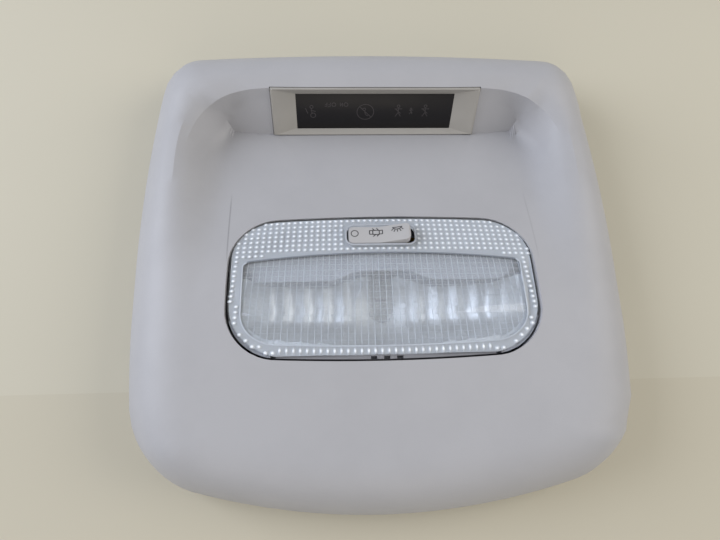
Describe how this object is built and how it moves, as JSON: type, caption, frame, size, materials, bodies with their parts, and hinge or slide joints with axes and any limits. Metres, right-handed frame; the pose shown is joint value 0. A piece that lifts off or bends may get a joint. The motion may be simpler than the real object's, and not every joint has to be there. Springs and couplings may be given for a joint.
{
  "type": "car dome light console",
  "caption": "Overhead car console with a clear prismatic dome light, a rocker switch and a scooped recess holding a smoked warning display.",
  "frame": {"origin": "middle of the bounding box, on the plane of the rim that meets the roof lining", "axes": "+X to the right across the console, +Y from the lamp towards the display, +Z out of the face into the car"},
  "size_m": [0.2054, 0.2, 0.0363],
  "materials": {
    "console_shell": "leather-grained light grey moulding",
    "display_bezel": "fine-grained light grey moulding",
    "smoked_window": "smoked, glossy",
    "light_box": "plain white moulding",
    "circuit_board": "solder-masked board",
    "telltale_led": "clear diode",
    "plug_shroud": "natural nylon",
    "tinned_pin": "tinned",
    "plated_screw": "zinc plated",
    "clear_lens": "clear prismatic moulding",
    "lamp_housing": "plain grey moulding",
    "reflector": "vacuum metallised",
    "bulb_glass": "clear glass",
    "filament": "bare tungsten",
    "bulb_holder": "natural heat-proof moulding",
    "brass_contact": "bare brass",
    "spring_steel": "bright spring steel",
    "rocker": "satin off-white moulding"
  },
  "bodies": {
    "console": {"console_shell": "console_shell", "display_bezel": "display_bezel", "display_window": "smoked_window", "display_light_box": "light_box", "display_board": "circuit_board", "telltale_leds": "telltale_led", "display_connector": "plug_shroud", "display_pins": "tinned_pin", "display_screws": "plated_screw", "lamp_lens": "clear_lens", "lamp_housing": "lamp_housing", "reflector": "reflector", "bulb_glass": "bulb_glass", "bulb_filament": "filament", "bulb_holder": "bulb_holder", "holder_contact_live": "brass_contact", "holder_contact_earth": "brass_contact", "strip_battery": "brass_contact", "strip_door": "brass_contact", "strip_earth": "brass_contact", "lamp_spring_left": "spring_steel", "lamp_spring_right": "spring_steel"},
    "rocker": {"rocker_switch": "rocker", "rocker_contact": "brass_contact"}
  },
  "joints": [
    {"name": "rocker", "type": "hinge", "parent": "console", "child": "rocker", "pos_m": [-0.0002, 0.00647, 0.0258], "axis": [0, 0.9693, -0.2457], "range_deg": [0, 14]}
  ]
}
